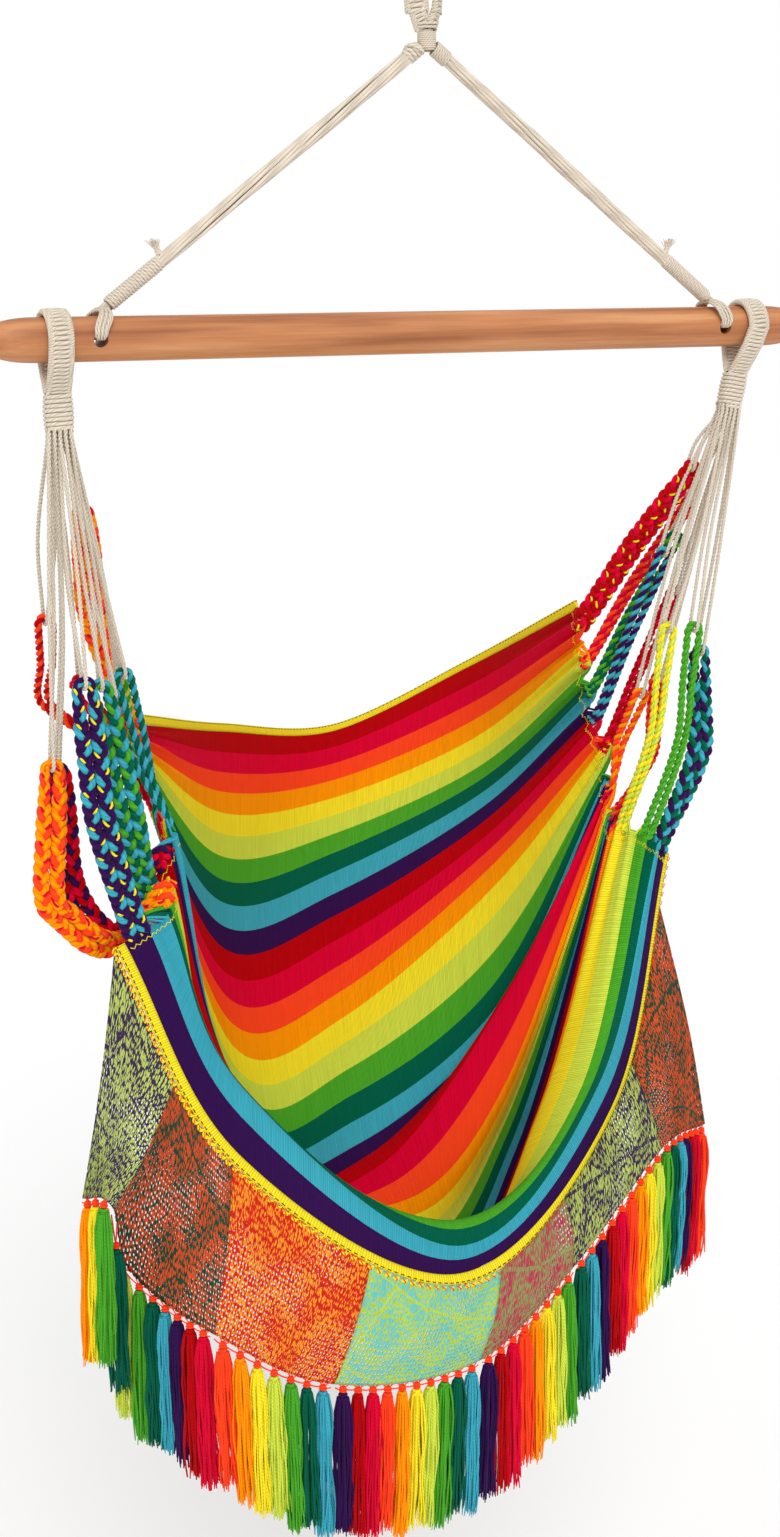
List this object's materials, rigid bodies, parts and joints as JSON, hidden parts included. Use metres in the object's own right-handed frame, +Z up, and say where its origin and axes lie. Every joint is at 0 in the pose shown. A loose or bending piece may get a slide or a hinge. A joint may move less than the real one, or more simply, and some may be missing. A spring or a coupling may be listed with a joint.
{
  "type": "hammock chair",
  "caption": "Hanging hammock chair: a striped cotton seat slung by cords and braids from a wooden spreader bar under a rope eye, with a lace panel and a tasselled fringe.",
  "frame": {"origin": "inside top of the rope eye, where a hook carries the chair", "axes": "X along the spreader bar, +Y to the chair's back, +Z up"},
  "size_m": [0.88, 0.7274, 1.6055],
  "materials": {
    "cream_cotton_cord": "matt twisted cotton",
    "oiled_hardwood": "smooth satin oil",
    "striped_cotton_cloth": "matt woven stripes",
    "yellow_selvage": "matt woven edge",
    "lace_olive": "open two-colour weave",
    "lace_rust_green": "open two-colour weave",
    "lace_orange_crimson": "open two-colour weave",
    "lace_turquoise_lime": "open two-colour weave",
    "lace_crimson_sage": "open two-colour weave",
    "tassel_yarn": "loose cotton yarn",
    "braid_coral": "plaited cotton yarn",
    "braid_crimson": "plaited cotton yarn",
    "braid_green": "plaited cotton yarn",
    "braid_lime": "plaited cotton yarn",
    "braid_orange": "plaited cotton yarn",
    "braid_purple": "plaited cotton yarn",
    "braid_red": "plaited cotton yarn",
    "braid_teal": "plaited cotton yarn",
    "braid_turquoise": "plaited cotton yarn"
  },
  "bodies": {
    "eye": {"hanging_eye": "cream_cotton_cord"},
    "throat": {"eye_throat": "cream_cotton_cord"},
    "neck": {"neck_whipping": "cream_cotton_cord"},
    "suspension": {"left_leg_collar": "cream_cotton_cord", "left_suspension_strands": "cream_cotton_cord", "left_tie_tuft": "cream_cotton_cord", "left_bar_whipping": "cream_cotton_cord", "left_bar_eye": "cream_cotton_cord", "right_leg_collar": "cream_cotton_cord", "right_suspension_strands": "cream_cotton_cord", "right_tie_tuft": "cream_cotton_cord", "right_bar_whipping": "cream_cotton_cord", "right_bar_eye": "cream_cotton_cord", "spreader_bar": "oiled_hardwood"},
    "sling": {"left_sling_loop": "cream_cotton_cord", "left_sling_neck": "cream_cotton_cord", "left_front_cords": "cream_cotton_cord", "left_back_cords": "cream_cotton_cord", "right_sling_loop": "cream_cotton_cord", "right_sling_neck": "cream_cotton_cord", "right_front_cords": "cream_cotton_cord", "right_back_cords": "cream_cotton_cord", "seat_cloth": "striped_cotton_cloth", "back_selvage": "yellow_selvage", "front_selvage": "yellow_selvage", "lace_panel_1": "lace_olive", "lace_panel_2": "lace_rust_green", "lace_panel_3": "lace_orange_crimson", "lace_panel_4": "lace_turquoise_lime", "lace_panel_5": "lace_crimson_sage", "lace_panel_6": "lace_olive", "lace_panel_7": "lace_rust_green", "fringe_1": "tassel_yarn", "fringe_2": "tassel_yarn", "fringe_3": "tassel_yarn", "fringe_4": "tassel_yarn", "fringe_5": "tassel_yarn", "fringe_6": "tassel_yarn", "fringe_7": "tassel_yarn", "left_braid_1": "braid_orange", "left_braid_2": "braid_coral", "left_braid_3": "braid_green", "left_braid_4": "braid_crimson", "left_braid_5": "braid_teal", "left_braid_6": "braid_turquoise", "left_braid_7": "braid_red", "left_braid_8": "braid_orange", "left_braid_9": "braid_green", "left_braid_10": "braid_purple", "right_braid_1": "braid_red", "right_braid_2": "braid_coral", "right_braid_3": "braid_green", "right_braid_4": "braid_purple", "right_braid_5": "braid_red", "right_braid_6": "braid_coral", "right_braid_7": "braid_crimson", "right_braid_8": "braid_lime", "right_braid_9": "braid_green", "right_braid_10": "braid_turquoise"}
  },
  "joints": [
    {"name": "rope_twist", "type": "hinge", "parent": "eye", "child": "throat", "pos_m": [0, 0, -0.122], "axis": [0, 0, 1], "range_deg": [-180, 180]},
    {"name": "swing_sideways", "type": "hinge", "parent": "throat", "child": "neck", "pos_m": [0, 0, -0.1512], "axis": [0, 1, 0], "range_deg": [-20, 20]},
    {"name": "swing_fore_aft", "type": "hinge", "parent": "neck", "child": "suspension", "pos_m": [0, 0, -0.1528], "axis": [1, 0, 0], "range_deg": [-25, 25]},
    {"name": "seat_pitch", "type": "hinge", "parent": "suspension", "child": "sling", "pos_m": [0, 0, -0.43], "axis": [1, 0, 0], "range_deg": [-25, 25]}
  ]
}
